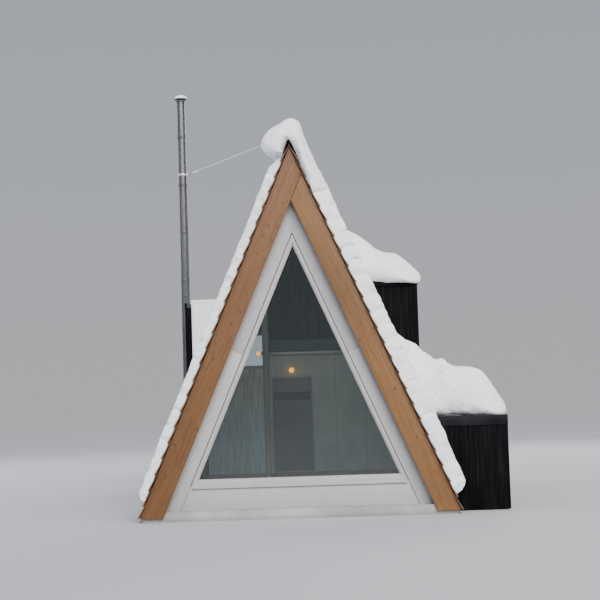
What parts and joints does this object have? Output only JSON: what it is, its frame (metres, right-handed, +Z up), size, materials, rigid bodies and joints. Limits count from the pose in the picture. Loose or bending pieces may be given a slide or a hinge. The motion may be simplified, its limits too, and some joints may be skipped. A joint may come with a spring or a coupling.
{
  "type": "a-frame cabin",
  "caption": "Snow-capped A-frame cabin with a fully glazed front gable, fir bargeboards, flat dormers, a low side store, a tall flue and a hinged back door.",
  "frame": {"origin": "on the ground under the foundation, at the middle of the house's plan", "axes": "+X to the right and +Y to the back, seen from the glazed front gable; +Z up"},
  "size_m": [5.648, 8.575, 7.919],
  "materials": {
    "concrete": "cast, matt",
    "floor_boards": "oiled boards",
    "lining": "matt lining boards",
    "shingle": "weathered split shingles",
    "ridge_board": "dark stained",
    "fir": "clear-coated fir",
    "paint": "painted, eggshell",
    "wall_board": "painted boards",
    "pane": "clear sealed unit",
    "door_paint": "grey paint, satin",
    "hardware": "brushed",
    "globe": "opal glass, lit",
    "dark_cladding": "black stained boards",
    "flue_steel": "galvanised, satin",
    "snow": "lying snow"
  },
  "bodies": {
    "cabin": {"foundation": "concrete", "floor": "floor_boards", "roof_left_front": "lining", "roof_left_top": "lining", "roof_right_front": "lining", "roof_right_top": "lining", "roof_right_back": "lining", "shingles_left": "shingle", "shingles_right": "shingle", "ridge_boards": "ridge_board", "barge_front_left": "fir", "barge_front_right": "fir", "barge_back_left": "fir", "barge_back_right": "fir", "trim_left_upper": "paint", "trim_left_lower": "paint", "trim_right_upper": "paint", "trim_right_lower": "paint", "front_wall_left": "wall_board", "front_wall_right": "wall_board", "front_wall_base": "paint", "front_window_frame": "paint", "front_glass": "pane", "back_wall_left": "wall_board", "back_wall_right": "wall_board", "back_wall_upper": "wall_board", "back_wall_head": "wall_board", "back_window_frame": "paint", "back_glass": "pane", "door_frame": "paint", "hinge_pins": "hardware", "loft_floor": "lining", "loft_beam": "fir", "loft_post": "fir", "lamps": "globe", "right_dormer_front": "dark_cladding", "right_dormer_side": "dark_cladding", "right_dormer_back": "dark_cladding", "right_dormer_roof": "dark_cladding", "left_dormer_front": "dark_cladding", "left_dormer_side": "dark_cladding", "left_dormer_roof": "dark_cladding", "store_walls": "dark_cladding", "store_roof": "dark_cladding", "flue_pipe": "flue_steel", "flue_cap": "flue_steel", "flue_brackets": "flue_steel", "guy_rod": "flue_steel", "snow_ridge": "snow", "snow_left": "snow", "snow_right": "snow", "snow_right_dormer": "snow", "snow_left_dormer": "snow", "snow_store": "snow"},
    "door": {"door_leaf": "door_paint", "door_handle": "hardware", "hinge_knuckles": "hardware"}
  },
  "joints": [
    {"name": "door_hinge", "type": "hinge", "parent": "cabin", "child": "door", "pos_m": [0.2425, 3.78, 1.2], "axis": [0, 0, 1], "range_deg": [0, 100]}
  ]
}
